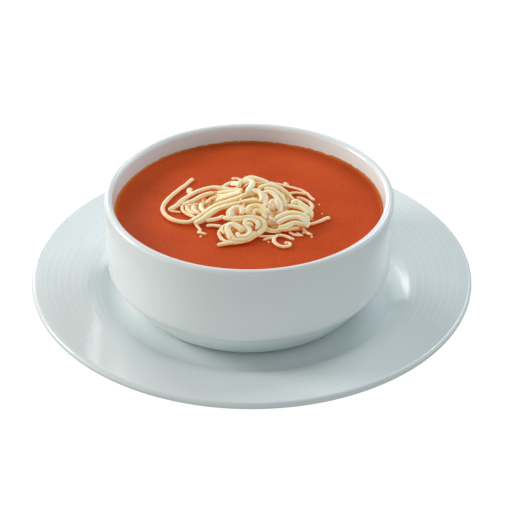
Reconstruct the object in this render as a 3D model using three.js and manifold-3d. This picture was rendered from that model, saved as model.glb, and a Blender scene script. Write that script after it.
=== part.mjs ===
// Tomato soup in a stacking bowl on its plate, with a heap of grated cheese.
// All sizes are in millimetres, +Z is up, and the origin is on the table below the plate's middle.

import * as THREE from 'three';
import { mergeVertices } from 'three/addons/utils/BufferGeometryUtils.js';
import Module from 'manifold-3d';

// Driving sizes of the plate
const PLATE_RADIUS = 101;
const PLATE_RIM_TOP = 19.9;
const PLATE_THICKNESS = 4.6;
const PLATE_RIM_THICKNESS = 3.7;
const PLATE_EDGE_ROUNDING = 1.7;
const PLATE_UNDER_RIM_RADIUS = 95;
const WELL_RADIUS = 71.9;
const WELL_TOP = 13.7;
const WELL_TOP_ROUNDING = 5.5;
const WELL_FOOT_ROUNDING = 5;
const PLATE_FLOOR_RADIUS = 62.5;
const PLATE_FLOOR_TOP = 8;
const FOOT_RING_OUTER = 60;
const FOOT_RING_INNER = 54;
const FOOT_RING_DEPTH = 3;
const FOOT_RING_FLARE = 1.2;
const RIDGE_FIRST = 69.8;
const RIDGE_PITCH = 3.1;
const RIDGE_COUNT = 9;
const RIDGE_HEIGHT = 0.1;

// Driving sizes of the bowl
const BOWL_X = -1.2;
const BOWL_RADIUS = 65;
const BOWL_RIM_TOP = 60.5;
const BOWL_WALL = 3.75;
const BOWL_LIP_ROUNDING = 1.8;
const BOWL_CREASE = 25.6;
const BOWL_CREASE_INSET = 0.35;
const BOWL_CREASE_ROUNDING = 1.7;
const BOWL_BEVEL_RADIUS = 52.3;
const BOWL_BEVEL_BOTTOM = 9.8;
const BOWL_FOOT_OUTER = 50;
const BOWL_FOOT_INNER = 45;
const BOWL_FOOT_RECESS = 1.2;
const BOWL_FOOT_FLARE = 0.8;
const INNER_SOUP_RADIUS = 60.5;
const INNER_LOW_RADIUS = 59.7;
const INNER_CREASE = BOWL_CREASE + 2;
const INNER_CREASE_ROUNDING = 2.5;
const INNER_FLOOR = BOWL_BEVEL_BOTTOM + 4.2;
const INNER_FLOOR_RADIUS = 46;
const INNER_FLOOR_ROUNDING = 3;
const INNER_BEND = Math.PI / 4;

// Driving sizes of the soup
const SOUP_LEVEL = 52.1;
const MENISCUS = 0.35;
const MENISCUS_REACH = 1.8;

// How finely the round shapes and the shreds are made
const ROUND_SIDES = 48;
const ROUNDING_STEPS = 2;
const FIT_GAP = 0.3;
const STEPS_PER_STRETCH = 1.05;
const SHRED_FLATNESS = 0.74;
const SHRED_SHOULDER = 0.55;
const SHRED_END = 0.55;
const SHRED_TAPER_LENGTH = 2.2;
const UP = new THREE.Vector3(0, 0, 1);

// Each shred of cheese: its width, then the points it runs through as x, y and height over the soup.
const SHREDS = {
  long_hook: [2.6, [-27, 25, 0.5], [-30.5, 19, 0.5], [-34.5, 13, 0.5], [-38, 6.5, 0.5],
    [-40, 0, 0.5], [-39.2, -5.5, 0.6], [-36.5, -10, 0.8], [-32.5, -13, 1], [-28, -14, 1.3],
    [-24.5, -12, 2], [-21, -9, 2.8]],
  outer_sweep: [2.8, [-37.2, -3, 0.6], [-34, 0, 0.9], [-31, 5, 1.2], [-27, 9.5, 1.5],
    [-23, 12.5, 1.8], [-18, 14.5, 2], [-13.5, 13.5, 2.2], [-9, 11.5, 2.6], [-5.5, 11.5, 3.4]],
  sweep_leg: [1.7, [-36.8, -3.3, 0.6], [-34.5, -4, 0.5], [-31.8, -4.5, 0.4]],
  inner_rod: [2.6, [-31, 0.5, 1.2], [-27, 3, 1.6], [-22.5, 7, 2], [-19.5, 9, 2], [-17, 10, 2]],
  fan_rim: [1.8, [-31.3, 0.5, 1], [-31, -3.5, 0.9], [-28.5, -7, 0.9], [-25, -10, 1.2]],
  fan_rib_left: [2.4, [-29, 0.5, 0.9], [-28.5, -3.5, 0.9], [-25.5, -7.5, 1]],
  fan_rib_middle: [2.4, [-26, 0, 1.2], [-26, -3.5, 1.2], [-23.5, -7.5, 1.5]],
  fan_rib_right: [2.6, [-22.5, 1.5, 1.6], [-22.5, -3, 1.6], [-21, -7, 2.2]],
  fan_bar: [1.9, [-30.5, 0.5, 1.2], [-27, 0, 1.4], [-24.5, 1, 1.6]],
  left_stub: [3, [-28, 16.5, 0.3], [-28.5, 13.5, 0.4], [-27, 10.5, 0.9]],
  band_low: [3.2, [-25.5, -15, 1.2], [-22, -13.5, 2], [-18.5, -10.5, 3.2], [-15, -7.5, 4],
    [-11, -6, 4.6], [-6, -4.5, 5.2], [-1, -3.5, 5.8], [3, -3.5, 6.1]],
  band_middle: [3, [-22.5, -11, 2.4], [-19, -7, 3.4], [-15.5, -4.5, 4.2], [-11, -3, 5],
    [-7, -1.5, 5.6], [-2.5, 1.5, 6], [1.5, 2.5, 6]],
  band_top: [2.4, [-16, 0, 3.6], [-12.5, 1, 4.4], [-8.5, 2.5, 5], [-4.5, 4, 5.6]],
  band_branch: [2.6, [-20.5, -13.5, 1.8], [-16, -13.5, 2.4], [-12, -12.5, 3.4]],
  band_sunk: [2.4, [-20, -16, 0.7], [-16.5, -16.5, 1], [-13, -18, 1.4]],
  packed_back: [2.6, [-15.5, 9.5, 2.2], [-12, 8.5, 3.2], [-8.5, 7.5, 4.2], [-5, 7.5, 5.2]],
  packed_side: [2.4, [-15, 5.5, 2.4], [-11, 4.5, 3.6], [-7.5, 5, 4.6], [-4, 6.5, 5.6]],
  gap_arch: [1.7, [-20.5, 0, 2.4], [-19, 3, 2.4], [-16.5, 4.5, 2.8], [-13.5, 4, 3.4]],
  back_arc: [2, [-14, 13.5, 2.4], [-12, 15.5, 2.6], [-9.5, 17, 3], [-7, 16.5, 3.4], [-5, 14.5, 4]],
  back_bits: [1.8, [-9, 24, 0.8], [-7, 24.5, 0.8], [-4.5, 22.5, 0.9], [-3, 20.5, 1.2]],
  crown: [3, [-6, 9.5, 5], [-5.5, 11.5, 5.8], [-3.5, 13.5, 6.4], [0, 14.5, 6.8], [4, 13.5, 6.6],
    [7, 12, 6], [9.5, 10.5, 5.3]],
  crown_drop: [3, [-4, 12, 6], [-1.5, 12.5, 6.8], [0.4, 10.5, 7.2], [0, 6.5, 7.2],
    [-1.5, 3.5, 7], [-1, 1.5, 6.8]],
  arch_outer: [2.8, [3, 5.5, 6.4], [5, 7.5, 6.7], [8.5, 9, 6.5], [12.5, 8, 5.7], [15.5, 6, 4.5],
    [17.3, 4, 3.2], [18.2, 2.5, 2.2]],
  arch_middle: [2.6, [5.5, 6, 6.4], [9, 5.5, 6.6], [12, 3.5, 6.1], [14, 0, 5.3], [14.7, -4, 4.4],
    [14.4, -7, 3.6]],
  arch_inner: [2.6, [5, 2.5, 6.6], [8.3, 2.5, 6.7], [10.8, -0.5, 6.3], [12.5, -5, 5.5],
    [12.8, -9, 4.8], [12.4, -12, 4.2]],
  small_arch: [2.3, [8.3, -11, 5.2], [8.2, -6.5, 6], [9.8, -4, 6.2], [11.2, -6.5, 6], [11.3, -9.5, 5]],
  middle_drop: [2.6, [-1.5, 3.5, 6.6], [1.5, 3, 7], [4, 1, 7], [4.6, -3, 6.6], [3.6, -5.5, 6.2]],
  middle_side: [2.4, [5, 3, 6.5], [6.6, -1, 6.3], [6.2, -5, 6.1], [7, -8.5, 5.6]],
  left_curl: [3, [-9, -16, 5], [-9, -12.5, 5.8], [-7.5, -10.5, 6.4], [-5, -10.5, 6.6],
    [-4, -13, 6.3], [-5, -14.5, 5.8]],
  right_curl: [2.8, [-1.5, -14.5, 5.8], [-1.5, -11.5, 6.5], [0.5, -9.5, 6.9], [3.5, -9.5, 6.9],
    [6.2, -12, 6.4], [7.6, -14.5, 5.6]],
  curl_inner: [2.4, [0.5, -15, 5.4], [1.6, -12.5, 6], [4, -12.5, 6], [5.7, -14.5, 5.4], [6.6, -17, 4.7]],
  tail: [2.9, [-12.5, -15, 4.2], [-9, -16.5, 4.6], [-5, -16.5, 4.9], [-1, -16, 5.1], [2.5, -16.5, 4.9],
    [5, -18.5, 4.3], [5.6, -20.5, 3.5], [4.6, -23, 2.6], [2, -25.5, 1.8], [-2, -28, 1.4],
    [-6, -30, 1.1], [-11, -31, 0.9], [-15, -32, 0.7]],
  heart_left: [3.6, [-8.5, -29, 1.8], [-10, -25.5, 2.8], [-10.5, -22.5, 3.4], [-9, -20.5, 4.1],
    [-7, -21.5, 4.2], [-5, -23, 3.8], [-3.5, -24.5, 3]],
  heart_rim: [2, [-12, -20.5, 2.6], [-14, -22.5, 1.8], [-14, -25.5, 1.4], [-12, -29, 1.2],
    [-8.5, -30.5, 1.2]],
  heart_middle: [2.6, [-6.5, -25.5, 3], [-5, -28, 2.6], [-2.2, -27.5, 2.6], [-0.7, -25, 3.1],
    [-1.7, -22, 3.8], [-3, -20, 4.4], [-1.5, -18, 4.9], [1.2, -18.5, 4.8], [3, -20.5, 4.2],
    [2, -23, 3.2]],
  heart_fold: [2.6, [-9, -27.5, 2.4], [-6.5, -29.5, 1.8], [-2.5, -29, 1.8], [0.3, -26.5, 2.1],
    [1.5, -24, 2.6]],
  heart_hook: [2, [-2.4, -21.5, 4.2], [-0.6, -21, 4.7], [0.3, -22, 4.2]],
  fan_point: [3.4, [18.6, -4, 3.6], [19.2, -1.5, 4], [20.8, -1.5, 4], [23, -4, 3.5], [25.2, -6, 2.9],
    [26.3, -8.5, 2.3], [26, -11.5, 1.8]],
  fan_top: [2.6, [15.4, -4, 4], [17.6, -5.5, 4.2], [21, -6.5, 4.1], [24, -8.5, 3.6], [25.4, -11, 2.9]],
  fan_back: [3, [10.5, -16.5, 4.4], [13.5, -14, 4.8], [17.5, -12, 4.8], [21.5, -12.5, 4.5],
    [24.2, -14, 3.7], [25, -16.5, 2.6]],
  fan_middle: [3, [11, -19, 3.6], [14.5, -16.5, 4.2], [18.5, -15, 4.4], [22, -15.5, 4],
    [23.6, -17.5, 3], [22.4, -19, 2.2]],
  fan_front: [3, [11.5, -20.5, 2.4], [15, -20, 2.9], [18.5, -18.3, 3.5], [21, -18.3, 3.3],
    [21.8, -19.5, 2.5]],
  fan_low: [2.4, [12, -20.8, 1.6], [15, -21, 1.7], [18.5, -20.3, 2], [21, -19.8, 1.7]],
  fan_link: [2.2, [6, -18, 3.6], [6.3, -20.5, 2.6], [9, -22, 2], [12.5, -20.8, 1.6]],
  fan_neck: [2.4, [7, -14.5, 5], [8.6, -16.5, 4.6], [10.6, -17.5, 4]],
  right_tail: [2.3, [23.5, -16, 1.4], [26.5, -15, 0.9], [30, -12.7, 0.6], [32.5, -10.7, 0.6],
    [35, -9.2, 0.6]],
  sunk_long: [1.8, [9, 20.5, 0.7], [13, 19.5, 0.5], [18, 17.2, 0.5], [22.5, 14.7, 0.5],
    [25.3, 11.5, 0.5], [27.1, 7.7, 0.5], [28.6, 5.5, 0.5]],
  sunk_middle: [2, [14.5, 8, 1.2], [16.8, 10.3, 0.9], [19.5, 12, 0.6], [22.5, 11.7, 0.5], [25.5, 10.7, 0.5]],
  sunk_short: [2, [20.5, 8, 0.6], [23.5, 6.2, 0.6], [26, 3.7, 0.6], [27.3, 0.5, 0.7],
    [26.8, -3, 1.2], [25.6, -5.8, 2]],
  stray_curl: [2, [18.6, -27.5, 0.5], [16.8, -26.3, 0.7], [14.2, -24.8, 0.9], [11.6, -24.6, 1],
    [10, -26.6, 1], [9.8, -29.5, 0.9], [11.4, -32, 0.8], [14, -33.5, 0.8], [16.4, -32.6, 0.8],
    [16.6, -30.8, 0.8], [15.1, -30.4, 0.8], [14.6, -31.4, 0.8]],
  curl_bar: [1.6, [2.5, -25, 1], [6, -25, 0.7], [10.4, -25.2, 0.9]],
  curl_bit: [1.6, [5, -27.7, 0.5], [7.8, -26.3, 0.6], [9.6, -26.8, 0.7]],
  scrap_front: [1.8, [16.4, -21.5, 0.9], [18, -23, 0.6], [20, -24, 0.6], [22.6, -24, 0.5]],
  scrap_right: [1.7, [22.4, -19, 1.2], [23.6, -20.8, 0.7], [25, -22.7, 0.5], [26.8, -23.3, 0.4]],
  scrap_left: [1.6, [-25, -15, 1], [-23.6, -17.5, 0.7], [-22.6, -19.7, 0.5], [-23.8, -21.5, 0.5]],
  scrap_tip: [1.8, [-24, -21.5, 0.5], [-22, -22, 0.6], [-19.8, -23, 0.4]],
  slope_left: [2.8, [-5, 12, 5.6], [-7.5, 14.5, 4.2], [-8.5, 17, 2.4], [-6, 19.5, 1.2], [-1, 20.5, 0.8]],
  slope_middle: [2.8, [-2, 13.5, 6], [0.5, 16, 4.6], [5, 18, 2.6], [9.5, 17.8, 1.2]],
  slope_right: [2.8, [6, 12, 6], [9.5, 13, 4.2], [13, 12.7, 2.4], [16, 10.3, 1.2]],
  slope_low: [2.6, [-3, 14.5, 5], [-3.5, 17.5, 3.2], [0, 19.3, 2], [6, 19.6, 1]],
};

// Low mounds of packed cheese under the shreds: middle x, middle y, half width, half depth, height
const MOUNDS = [
  [3, -3, 16, 20, 6.2],
  [-5, -23.5, 8, 7, 2],
  [18.5, -12, 8.5, 9, 3.2],
  [-23.5, 0, 8.5, 10, 1.3],
  [-12, 6, 9, 9, 2.2],
];
const MOUND_SIDES = 14;
const MOUND_RINGS = 4;
const MOUND_POWER = 3;

// Round pieces turned from a profile

function turned(profile) {
  const points = profile.map(([radius, height]) => new THREE.Vector2(radius, height));
  const geometry = new THREE.LatheGeometry(points, ROUND_SIDES);
  geometry.rotateX(Math.PI / 2);
  return geometry;
}

// Each corner is a radius, a height and, where it is rounded, how far from it the rounding starts.
function rounded(corners) {
  const profile = [];
  corners.forEach(([radius, height, rounding], i) => {
    if (!rounding) {
      profile.push([radius, height]);
      return;
    }
    const corner = new THREE.Vector2(radius, height);
    const back = new THREE.Vector2(...corners[i - 1]).sub(corner).setLength(rounding);
    const ahead = new THREE.Vector2(...corners[i + 1]).sub(corner).setLength(rounding);
    for (let step = 0; step <= ROUNDING_STEPS; step += 1) {
      const angle = step / ROUNDING_STEPS * Math.PI / 2;
      const point = corner.clone();
      point.addScaledVector(back, 1 - Math.sin(angle));
      point.addScaledVector(ahead, 1 - Math.cos(angle));
      profile.push(point.toArray());
    }
  });
  return profile;
}

// The rim's top slopes evenly from the edge down to the well.
function rimHeight(radius) {
  return WELL_TOP + (PLATE_RIM_TOP - WELL_TOP) * (radius - WELL_RADIUS) / (PLATE_RADIUS - WELL_RADIUS);
}

function heightAlong(line, radius) {
  const next = line.findIndex(([reach]) => reach <= radius);
  const [outer, outerHeight] = line[next - 1];
  const [inner, innerHeight] = line[next];
  return THREE.MathUtils.mapLinear(radius, inner, outer, innerHeight, outerHeight);
}

function plateGeometry() {
  const top = rounded([
    [PLATE_RADIUS, PLATE_RIM_TOP],
    [WELL_RADIUS, WELL_TOP, WELL_TOP_ROUNDING],
    [PLATE_FLOOR_RADIUS, PLATE_FLOOR_TOP, WELL_FOOT_ROUNDING],
    [0, PLATE_FLOOR_TOP],
  ]);
  const bandInner = RIDGE_FIRST + RIDGE_PITCH * (RIDGE_COUNT - 0.5);
  const profile = rounded([
    [0, FOOT_RING_DEPTH],
    [FOOT_RING_INNER - FOOT_RING_FLARE, FOOT_RING_DEPTH],
    [FOOT_RING_INNER, 0],
    [FOOT_RING_OUTER, 0],
    [FOOT_RING_OUTER + FOOT_RING_FLARE, FOOT_RING_DEPTH],
    [WELL_RADIUS, WELL_TOP - PLATE_THICKNESS],
    [PLATE_UNDER_RIM_RADIUS, rimHeight(PLATE_UNDER_RIM_RADIUS) - PLATE_RIM_THICKNESS],
    [PLATE_RADIUS, PLATE_RIM_TOP - 2 * PLATE_EDGE_ROUNDING, PLATE_EDGE_ROUNDING],
    [PLATE_RADIUS, PLATE_RIM_TOP, PLATE_EDGE_ROUNDING],
    [bandInner, rimHeight(bandInner)],
  ]);
  for (let ring = RIDGE_COUNT - 1; ring >= 0; ring -= 1) {
    const crest = RIDGE_FIRST + RIDGE_PITCH * ring;
    const groove = crest - RIDGE_PITCH / 2;
    profile.push([crest, heightAlong(top, crest) + RIDGE_HEIGHT]);
    profile.push([groove, heightAlong(top, groove)]);
  }
  const [innermost] = profile.at(-1);
  profile.push(...top.filter(([radius]) => radius < innermost));
  return turned(profile);
}

// The outside goes from the foot up to the lip, and the inside from the lip down to the floor.
function bowlGeometry() {
  const base = PLATE_FLOOR_TOP + FIT_GAP;
  const profile = rounded([
    [0, base + BOWL_FOOT_RECESS],
    [BOWL_FOOT_INNER, base + BOWL_FOOT_RECESS],
    [BOWL_FOOT_INNER + BOWL_FOOT_FLARE, base],
    [BOWL_FOOT_OUTER, base],
    [BOWL_BEVEL_RADIUS, BOWL_BEVEL_BOTTOM],
    [BOWL_RADIUS - BOWL_CREASE_INSET, BOWL_CREASE, BOWL_CREASE_ROUNDING],
    [BOWL_RADIUS, BOWL_RIM_TOP, BOWL_LIP_ROUNDING],
    [BOWL_RADIUS - BOWL_WALL, BOWL_RIM_TOP, BOWL_LIP_ROUNDING],
    [INNER_SOUP_RADIUS, SOUP_LEVEL],
    [INNER_LOW_RADIUS, INNER_CREASE, INNER_CREASE_ROUNDING],
    [INNER_FLOOR_RADIUS, INNER_FLOOR, INNER_FLOOR_ROUNDING],
    [0, INNER_FLOOR],
  ]);
  return turned(profile);
}

// The soup follows the inside of the bowl, a small gap away from it, and climbs a little at its edge.
function soupGeometry() {
  const edge = INNER_SOUP_RADIUS - FIT_GAP;
  const bendShift = FIT_GAP * Math.tan(INNER_BEND / 2);
  const profile = rounded([
    [0, INNER_FLOOR + FIT_GAP],
    [INNER_FLOOR_RADIUS - bendShift, INNER_FLOOR + FIT_GAP, INNER_FLOOR_ROUNDING],
    [INNER_LOW_RADIUS - FIT_GAP, INNER_CREASE + bendShift, INNER_CREASE_ROUNDING],
    [edge, SOUP_LEVEL + MENISCUS],
    [edge - MENISCUS_REACH / 3, SOUP_LEVEL + MENISCUS / 3],
    [edge - MENISCUS_REACH, SOUP_LEVEL],
    [0, SOUP_LEVEL],
  ]);
  return turned(profile);
}

// Grated cheese: strips that follow smooth routes, lying flat, a little narrower at their ends

class ShredRoute extends THREE.CatmullRomCurve3 {
  computeFrenetFrames(steps) {
    const length = this.getLength();
    const tangents = [];
    const normals = [];
    const binormals = [];
    for (let i = 0; i <= steps; i += 1) {
      const along = i / steps;
      const tangent = this.getTangentAt(along);
      const side = new THREE.Vector3().crossVectors(tangent, UP).normalize();
      const under = new THREE.Vector3().crossVectors(tangent, side).normalize();
      const fromEnd = Math.min(along, 1 - along) * length;
      const size = SHRED_END + (1 - SHRED_END) * Math.min(1, fromEnd / SHRED_TAPER_LENGTH);
      tangents.push(tangent);
      normals.push(under.multiplyScalar(size));
      binormals.push(side.multiplyScalar(-size));
    }
    return { tangents, normals, binormals };
  }
}

function stripSection(width) {
  const half = width / 2;
  const thick = half * SHRED_FLATNESS;
  const shoulder = half * SHRED_SHOULDER;
  const section = new THREE.Shape();
  section.moveTo(0, half);
  section.lineTo(-thick, shoulder);
  section.lineTo(-thick, -shoulder);
  section.lineTo(0, -half);
  section.lineTo(thick, -shoulder);
  section.lineTo(thick, shoulder);
  section.closePath();
  return section;
}

function shredGeometry([width, ...points]) {
  const route = new ShredRoute(points.map(([x, y, height]) => new THREE.Vector3(x, y, SOUP_LEVEL + height)));
  const steps = Math.round((points.length - 1) * STEPS_PER_STRETCH);
  return new THREE.ExtrudeGeometry(stripSection(width), { steps, extrudePath: route, bevelEnabled: false });
}

function moundGeometry([x, y, halfWidth, halfDepth, height]) {
  const profile = [new THREE.Vector2(0, -1)];
  profile.push(new THREE.Vector2(1, -1));
  for (let ring = 0; ring <= MOUND_RINGS; ring += 1) {
    const radius = Math.cos(ring / MOUND_RINGS * Math.PI / 2);
    const level = ring === MOUND_RINGS ? 1 : Math.sqrt(Math.max(0, 1 - radius ** MOUND_POWER));
    profile.push(new THREE.Vector2(ring === MOUND_RINGS ? 0 : radius, level));
  }
  const geometry = new THREE.LatheGeometry(profile, MOUND_SIDES);
  geometry.rotateX(Math.PI / 2);
  geometry.scale(halfWidth, halfDepth, height);
  geometry.translate(x, y, SOUP_LEVEL);
  return geometry;
}

// Joining and cutting solids

const MERGE_DISTANCE = 0.001;
const wasm = await Module();
wasm.setup();

function solidFrom(geometry) {
  geometry.deleteAttribute('normal');
  geometry.deleteAttribute('uv');
  const merged = mergeVertices(geometry, MERGE_DISTANCE);
  const corners = merged.index.array;
  const kept = [];
  for (let i = 0; i < corners.length; i += 3) {
    const [a, b, c] = corners.slice(i, i + 3);
    if (a !== b && b !== c && c !== a) {
      kept.push(a, b, c);
    }
  }
  const mesh = new wasm.Mesh({
    numProp: 3,
    vertProperties: new Float32Array(merged.attributes.position.array),
    triVerts: new Uint32Array(kept),
  });
  return new wasm.Manifold(mesh);
}

function geometryFrom(solid) {
  const mesh = solid.getMesh();
  const geometry = new THREE.BufferGeometry();
  geometry.setAttribute('position', new THREE.BufferAttribute(mesh.vertProperties, 3));
  geometry.setIndex(new THREE.BufferAttribute(mesh.triVerts, 1));
  geometry.computeVertexNormals();
  return geometry;
}

// Only what stands clear of the soup is kept, as one piece with no sealed hollow or loose scrap.
function cheeseGeometry() {
  const blocks = [...MOUNDS.map(moundGeometry), ...Object.values(SHREDS).map(shredGeometry)];
  let heap = solidFrom(blocks[0]);
  for (const block of blocks.slice(1)) {
    heap = heap.add(solidFrom(block));
  }
  const cutTop = SOUP_LEVEL + FIT_GAP / 2;
  const below = new THREE.BoxGeometry(2 * PLATE_RADIUS, 2 * PLATE_RADIUS, cutTop);
  below.translate(0, 0, cutTop / 2);
  const pieces = heap.subtract(solidFrom(below)).decompose();
  pieces.sort((one, other) => other.volume() - one.volume());
  return geometryFrom(pieces[0]);
}

// The finished pieces

const PLATE_COLOUR = 0xd3dada;
const BOWL_COLOUR = 0xdcdfde;
const SOUP_COLOUR = 0xbf5028;
const CHEESE_COLOUR = 0xeddfb4;
const GLAZE_ROUGHNESS = 0.2;
const SOUP_ROUGHNESS = 0.4;
const CHEESE_ROUGHNESS = 0.5;

function piece(name, geometry, colour, roughness) {
  const material = new THREE.MeshStandardMaterial({ color: colour, roughness, metalness: 0 });
  const mesh = new THREE.Mesh(geometry, material);
  mesh.name = name;
  return mesh;
}

const served = new THREE.Group();
served.add(piece('plate', plateGeometry(), PLATE_COLOUR, GLAZE_ROUGHNESS));

const bowlGroup = new THREE.Group();
bowlGroup.position.x = BOWL_X;
bowlGroup.add(piece('bowl', bowlGeometry(), BOWL_COLOUR, GLAZE_ROUGHNESS));
bowlGroup.add(piece('soup', soupGeometry(), SOUP_COLOUR, SOUP_ROUGHNESS));
served.add(bowlGroup);

served.add(piece('grated_cheese', cheeseGeometry(), CHEESE_COLOUR, CHEESE_ROUGHNESS));

export default served;
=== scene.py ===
# %% [markdown]
# # A bowl of tomato soup with grated cheese
# A white stacking bowl stands on its plate and is filled with thick tomato soup. A loose heap of
# coarsely grated cheese lies in the middle. The solids of the frame give the sizes and places
# here, and this script makes the smooth, glazed, moist version of each of them.

# %% Load the frame
import math
import random

import bmesh
import bpy
from mathutils import Matrix, Vector, noise


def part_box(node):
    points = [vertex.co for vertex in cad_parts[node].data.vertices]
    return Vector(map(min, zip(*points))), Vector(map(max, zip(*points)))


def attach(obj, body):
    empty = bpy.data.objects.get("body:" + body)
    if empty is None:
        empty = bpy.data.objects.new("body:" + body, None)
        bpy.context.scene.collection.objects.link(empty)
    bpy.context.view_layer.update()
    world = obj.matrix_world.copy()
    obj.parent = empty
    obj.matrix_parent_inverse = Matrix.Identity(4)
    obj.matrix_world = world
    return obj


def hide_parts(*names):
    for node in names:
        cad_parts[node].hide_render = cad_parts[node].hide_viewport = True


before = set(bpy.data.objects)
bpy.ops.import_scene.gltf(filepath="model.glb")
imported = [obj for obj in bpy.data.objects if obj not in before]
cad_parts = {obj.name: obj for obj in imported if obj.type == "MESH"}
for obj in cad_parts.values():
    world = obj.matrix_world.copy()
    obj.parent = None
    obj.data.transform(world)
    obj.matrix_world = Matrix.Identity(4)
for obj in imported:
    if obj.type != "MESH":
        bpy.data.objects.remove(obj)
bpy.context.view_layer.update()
MM = 0.001

# %% [markdown]
# ## Sizes
# The frame's boxes give the outer sizes of the bowl and the soup. The plate's are named here,
# because its top edge is rounded and ends a little lower than the corner that it is rounded from.
# The sizes inside those outlines, such as the thickness of a lip or the spacing of the fine
# rings, are named in millimetres where each piece is made, so that each one can be changed in one
# place.

# %% Sizes from the frame
plate_low, plate_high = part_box("plate")
bowl_low, bowl_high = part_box("bowl")
soup_low, soup_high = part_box("soup")

PLATE_RADIUS = 101.0
PLATE_RIM_TOP = 19.9
BOWL_X = (bowl_low.x + bowl_high.x) / 2 / MM
BOWL_RADIUS = (bowl_high.x - bowl_low.x) / 2 / MM
BOWL_BASE = bowl_low.z / MM
BOWL_RIM_TOP = bowl_high.z / MM
MENISCUS = 0.35
SOUP_LEVEL = soup_high.z / MM - MENISCUS
SOUP_BASE = soup_low.z / MM
SOUP_RADIUS = (soup_high.x - soup_low.x) / 2 / MM
frame_radius = (plate_high.x - plate_low.x) / 2 / MM
print("plate radius", PLATE_RADIUS, "and in the frame", round(frame_radius, 2))
print("bowl radius", round(BOWL_RADIUS, 2), "and its middle", round(BOWL_X, 2))
print("soup level", round(SOUP_LEVEL, 2), "soup radius", round(SOUP_RADIUS, 2))

# %% [markdown]
# ## Camera
# The bowl's rim and the plate's edge are circles, so the ellipses that they make in a picture
# give the camera: it stands about 77 cm away, looks down 33 degrees, and sees a narrow field. A
# narrow field from further off keeps the ellipses as even as they are in the picture.

# %% Camera
CAMERA_PLACE = Vector((0, -630.8, 440.7)) * MM
CAMERA_TILT = math.radians(33.28)
CAMERA_PAN = math.radians(0.14)
CAMERA_FIELD = math.radians(17.65)

camera_data = bpy.data.cameras.new("camera")
camera_data.angle = CAMERA_FIELD
camera_data.clip_start = 0.01
camera = bpy.data.objects.new("camera", camera_data)
camera.location = CAMERA_PLACE
camera.rotation_euler = (math.pi / 2 - CAMERA_TILT, 0, -CAMERA_PAN)
bpy.context.scene.collection.objects.link(camera)
bpy.context.scene.camera = camera
print("lens in mm:", round(camera_data.lens, 1))

# %% [markdown]
# ## Writing materials as sums
# A material is a small program of nodes. Wired by hand it gets long, so a socket is wrapped in a
# class whose plus, minus, times and divide add the Math nodes. Everything else comes from one
# method, `node`, which takes a node's type, its settings and what its sockets are fed with.

# %% A value that varies over a surface
class Field:
    def __init__(self, finish, socket):
        self.finish = finish
        self.socket = socket

    def math(self, operation, first, second):
        return self.finish.node("ShaderNodeMath", {"operation": operation}, {0: first, 1: second})

    def __add__(self, other):
        return self.math("ADD", self, other)

    def __sub__(self, other):
        return self.math("SUBTRACT", self, other)

    def __rsub__(self, other):
        return self.math("SUBTRACT", other, self)

    def __mul__(self, other):
        return self.math("MULTIPLY", self, other)

    def __truediv__(self, other):
        return self.math("DIVIDE", self, other)

    def above(self, other):
        return self.math("MAXIMUM", self, other)

    def below(self, other):
        return self.math("MINIMUM", self, other)

    __radd__ = __add__
    __rmul__ = __mul__


# %% A material and the nodes in it
# The Mix node has several sockets of one name, so its colour sockets are picked by number.
MIX_FACTOR = 0
MIX_FIRST = 6
MIX_SECOND = 7
MIXED_COLOUR = 2


class Finish:
    def __init__(self, name, constants):
        self.material = bpy.data.materials.new(name)
        self.material.use_nodes = True
        self.tree = self.material.node_tree
        self.shader = self.tree.nodes["Principled BSDF"]
        for socket, value in constants.items():
            self.shader.inputs[socket].default_value = value
        self.place = self.node("ShaderNodeTexCoord", {}, {}, "Object")

    def feed(self, socket, value):
        if isinstance(value, Field):
            self.tree.links.new(value.socket, socket)
        else:
            socket.default_value = value

    def node(self, kind, settings, inputs, output=0):
        made = self.tree.nodes.new(kind)
        for name, value in settings.items():
            setattr(made, name, value)
        for key, value in inputs.items():
            self.feed(made.inputs[key], value)
        return Field(self, made.outputs[output])

    def noise(self, scale, detail=2.0, roughness=0.5):
        inputs = {"Vector": self.place, "Scale": scale, "Detail": detail, "Roughness": roughness}
        return self.node("ShaderNodeTexNoise", {}, inputs, "Fac")

    def mix(self, factor, first, second):
        inputs = {
            MIX_FACTOR: factor,
            MIX_FIRST: self.colour(first),
            MIX_SECOND: self.colour(second),
        }
        return self.node("ShaderNodeMix", {"data_type": "RGBA"}, inputs, MIXED_COLOUR)

    def colour(self, value):
        return value if isinstance(value, Field) else (*value, 1)

    def ramp(self, factor, low, high):
        inputs = {"Value": factor, "From Min": low, "From Max": high}
        return self.node("ShaderNodeMapRange", {"clamp": True}, inputs)

    def height(self):
        return self.node("ShaderNodeSeparateXYZ", {}, {0: self.place}, "Z")

    def across(self, centre_x):
        shift = {"Vector": self.place, "Location": (-centre_x, 0, 0)}
        centred = self.node("ShaderNodeMapping", {}, shift)
        level = {0: centred, 1: (1, 1, 0)}
        flat = self.node("ShaderNodeVectorMath", {"operation": "MULTIPLY"}, level)
        return self.node("ShaderNodeVectorMath", {"operation": "LENGTH"}, {0: flat}, "Value")

    def bump(self, height, depth):
        inputs = {"Height": height, "Distance": depth, "Strength": 1.0}
        self.feed(self.shader.inputs["Normal"], self.node("ShaderNodeBump", {}, inputs))

    def set(self, socket, value):
        self.feed(self.shader.inputs[socket], value)


print("material helpers ready")

# %% [markdown]
# ## The white glaze
# Hotel porcelain is a little grey and cool, not paper white, and its glaze is glossy with a very
# slight wave that softens reflections. The colour drifts by a few percent. The plate and the bowl
# share one recipe, and differ in their white, in how smooth they are and in how thick the clear
# coat is. Inside the bowl the white is a little cooler, which evens out the red light from the
# soup.

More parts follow.
